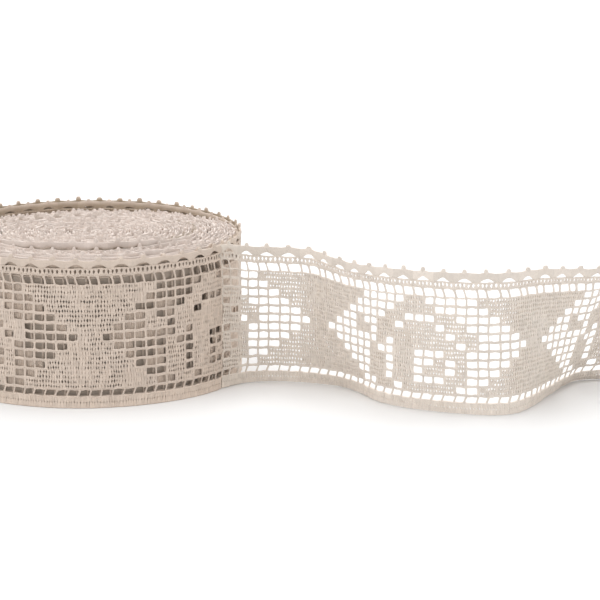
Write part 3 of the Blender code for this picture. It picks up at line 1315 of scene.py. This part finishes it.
@dataclass
class WoundRoll:
    """The wound tape, turn within turn.

    Attributes:
        maker: Lays the stitches.
        way: The way round the roll.
        cotton: The material of the outer turns.
        edges: The material of the turns within, a copy painted lighter for the top light on their
            edges.
        front_columns: Number of columns of the outer turn in its front piece.
        outer_columns: Number of columns in a whole outer turn.
        second_columns: Number of columns in the turn below it.
        smallest: Radius of the innermost turn.
        front_shade: Painted shade on the inner face of the outer turn at the front.
        rear_shade: Painted shade on its inner face at the rear.
        brim: Height that these painted shades end at, at the front.
        rear_brim: Height that they end at, at the rear.
        second_shade: Painted shade on the turn below it.
        gap_shade: Painted shade on that turn behind the holes under the arches.
        deep_shade: Painted shade on the turns within, below their edges.
        behind_proud: Painted shade on the turn behind the proud one, counted from that one.
    """

    maker: LaceMaker
    way: RollWay
    cotton: bpy.types.Material
    edges: bpy.types.Material
    front_columns: int = 46
    outer_columns: int = 90
    second_columns: int = 88
    smallest: float = 2.4
    front_shade: float = 0.62
    rear_shade: float = 0.75
    brim: float = 63.4
    rear_brim: float = 65.2
    second_shade: float = 0.04
    gap_shade: Bulge = Bulge(0.25, 61.4, 1.0)
    deep_shade: float = 0.45
    behind_proud: Bulge = Bulge(0.7, 1.0, 0.42)

    def piece(
        self,
        name: str,
        columns: range,
        cloth: FlatCloth,
        shade: np.ndarray,
        cotton: bpy.types.Material,
    ) -> None:
        """Makes one stretch of the wound tape.

        Args:
            name: Name of the piece.
            columns: Its columns.
            cloth: The flat cloth.
            shade: How much painted shade each corner gets.
            cotton: Its material.
        """
        length = len(columns) * self.maker.pattern.column
        made = ClothPiece(name, "wound_roll", length, cotton).make(cloth, self.way, shade)

    def inner_face(self, cloth: FlatCloth, brim: float) -> np.ndarray:
        """How far each corner lies on the face towards the roll's centre, below the brim: the mask
        of its painted shade.
        """
        _, out, height = cloth.flat_points().T
        return np.clip(-out / 0.4, 0.0, 1.0) * np.clip((brim - height) / 1.4, 0.0, 1.0)

    def outer_turn(self, last: int) -> int:
        """Builds the outer turn, in a front and a rear piece.

        Args:
            last: The column that it ends before.

        Returns:
            The column that it starts from.
        """
        rear_columns = self.outer_columns - self.front_columns
        for name, count, depth, brim in (
            ("outer_turn_front", self.front_columns, self.front_shade, self.brim),
            ("outer_turn_rear", rear_columns, self.rear_shade, self.rear_brim),
        ):
            columns = range(last - count, last)
            cloth = self.maker.fine_lace(columns)
            # Painted shade on the inner face, standing for the shadow inside the roll
            shade = depth * self.inner_face(cloth, brim)
            self.piece(name, columns, cloth, shade, self.cotton)
            last -= count
        return last

    def second_turn(self, last: int) -> int:
        """Builds the turn below the outer one.

        Args:
            last: The column that it ends before.

        Returns:
            The column that it starts from.
        """
        columns = range(last - self.second_columns, last)
        cloth = self.maker.plain_lace(columns)
        height = cloth.flat_points()[:, 2]
        # Painted shade on the turn below, darkest behind the holes under the arches
        behind = self.second_shade * np.clip(62.9 - height, 0.0, 1.0) + self.gap_shade.at(height)
        inner = self.front_shade * self.inner_face(cloth, self.brim)
        self.piece("second_turn", columns, cloth, np.maximum(behind, inner), self.cotton)
        return columns.start

    def turns_within(self, last: int) -> None:
        """Builds all the turns within, in two pieces.

        Args:
            last: The column that they end before.
        """
        turns = (self.way.radius - self.smallest) / self.way.pitch
        pattern = self.maker.pattern
        innermost = -self.way.length_of(turns) / pattern.column + pattern.first_loose
        share = (last - innermost) / 2.0
        for name, stop in (("middle_turns", last - share), ("heart_turns", innermost)):
            columns = range(2 * int(stop // 2) + 1, last)
            cloth = self.maker.deep_lace(columns)
            along, _, height = cloth.flat_points().T
            turn = self.way.turned(along) / (2.0 * math.pi)
            # Painted shade behind the proud turn and below the edges of the turns within
            behind = self.behind_proud.at(turn - self.way.proud.middle)
            deep = self.deep_shade * np.clip((61.9 - height) / 1.5, 0.0, 1.0)
            self.piece(name, columns, cloth, np.maximum(behind, deep), self.edges)
            last = columns.start

    def build(self) -> None:
        """Builds the whole roll, from the outside in."""
        below = self.outer_turn(self.maker.pattern.first_loose)
        self.turns_within(self.second_turn(below))


# The studio

@dataclass
class Studio:
    """A pale floor, soft light and the camera.

    Attributes:
        aim: The place that the camera looks at.
        eye: The camera's place.
        lens: Its focal length in millimetres.
        sky: Strength of the white sky.
        paper: Colour of the floor.
    """

    aim: tuple[float, float, float] = (0.0934, 0.0, 0.0322)
    eye: tuple[float, float, float] = (0.0934, -1.2703, 0.3087)
    lens: float = 175.6
    sky: float = 0.77
    paper: tuple[float, float, float, float] = (0.83, 0.83, 0.83, 1.0)

    def facing(self, place: tuple[float, float, float]) -> Euler:
        """The rotation of a camera or lamp at a place, so that it looks at the aim."""
        return (Vector(self.aim) - Vector(place)).to_track_quat("-Z", "Y").to_euler()

    def floor(self) -> None:
        """Lays a wide pale floor."""
        bpy.ops.object.select_all(action="DESELECT")
        bpy.ops.mesh.primitive_plane_add(size=9.0, location=(0.0, 1.5, 0.0))
        floor = bpy.context.active_object
        floor.name = "studio_floor"
        material = bpy.data.materials.new("white paper")
        material.use_nodes = True
        paper = material.node_tree.nodes["Principled BSDF"]
        paper.inputs["Base Color"].default_value = self.paper
        paper.inputs["Roughness"].default_value = 0.9
        paper.inputs["Specular IOR Level"].default_value = 0.1
        floor.data.materials.append(material)
        floor.select_set(False)

    def lamp(self, name: str, place: tuple[float, float, float], size: float, power: float) -> None:
        """Hangs a square soft lamp that looks at the roll, or straight down far behind it.

        Args:
            name: Its name.
            place: Where it hangs.
            size: Length of its side.
            power: Its power in watts.
        """
        light = bpy.data.lights.new(name, "AREA")
        light.size = size
        light.energy = power
        lamp = bpy.data.objects.new(name, light)
        lamp.location = place
        if place[1] < 1.0:
            lamp.rotation_euler = self.facing(place)
        bpy.context.scene.collection.objects.link(lamp)

    def lights(self) -> None:
        """Sets an even white sky and three large soft lamps."""
        world = bpy.data.worlds.new("white room")
        world.use_nodes = True
        background = world.node_tree.nodes["Background"]
        background.inputs["Color"].default_value = (1.0, 1.0, 1.0, 1.0)
        background.inputs["Strength"].default_value = self.sky
        bpy.context.scene.world = world
        bpy.context.scene.view_settings.view_transform = "Standard"
        self.lamp("top_light", (0.05, -0.05, 1.6), 1.6, 16.6)
        self.lamp("left_light", (-1.2, -0.7, 1.0), 1.2, 3.5)
        self.lamp("backdrop_light", (0.1, 2.4, 1.5), 2.0, 26.0)

    def camera(self) -> None:
        """Sets the camera at the photograph's angle."""
        lens = bpy.data.cameras.new("camera")
        lens.lens = self.lens
        lens.sensor_width = 36.0
        lens.clip_start = 0.05
        camera = bpy.data.objects.new("camera", lens)
        camera.location = self.eye
        camera.rotation_euler = self.facing(self.eye)
        bpy.context.scene.collection.objects.link(camera)
        bpy.context.scene.camera = camera

    def build(self) -> None:
        """Builds the whole studio."""
        self.floor()
        self.lights()
        self.camera()


def main() -> None:
    """Builds the studio and the roll."""
    Studio().build()
    stitches = StitchBench().model_all()
    groups = {"tint": cotton_tint_group(), "relief": yarn_relief_group()}
    # Three copies of one cotton: the wound turns', and copies painted lighter for light through the
    # loose end and top light on the turns' edges
    wound = UnbleachedCotton().build(groups)
    loose = UnbleachedCotton(
        name="unbleached cotton, loose end, painted light",
        clean=(0.785, 0.715, 0.648, 1.0),
        warm=(0.765, 0.680, 0.600, 1.0),
        spread=0.13,
    ).build(groups)
    edges = UnbleachedCotton(
        name="unbleached cotton, turn edges, painted light",
        clean=(0.735, 0.655, 0.608, 1.0),
        warm=(0.715, 0.620, 0.560, 1.0),
        spread=0.15,
    ).build(groups)
    maker = LaceMaker(FiletPattern(), stitches)
    roll_way = RollWay()
    LooseEnd(maker, LooseWay(roll_way), loose).build()
    WoundRoll(maker, roll_way, wound, edges).build()


if __name__ == "__main__":
    main()
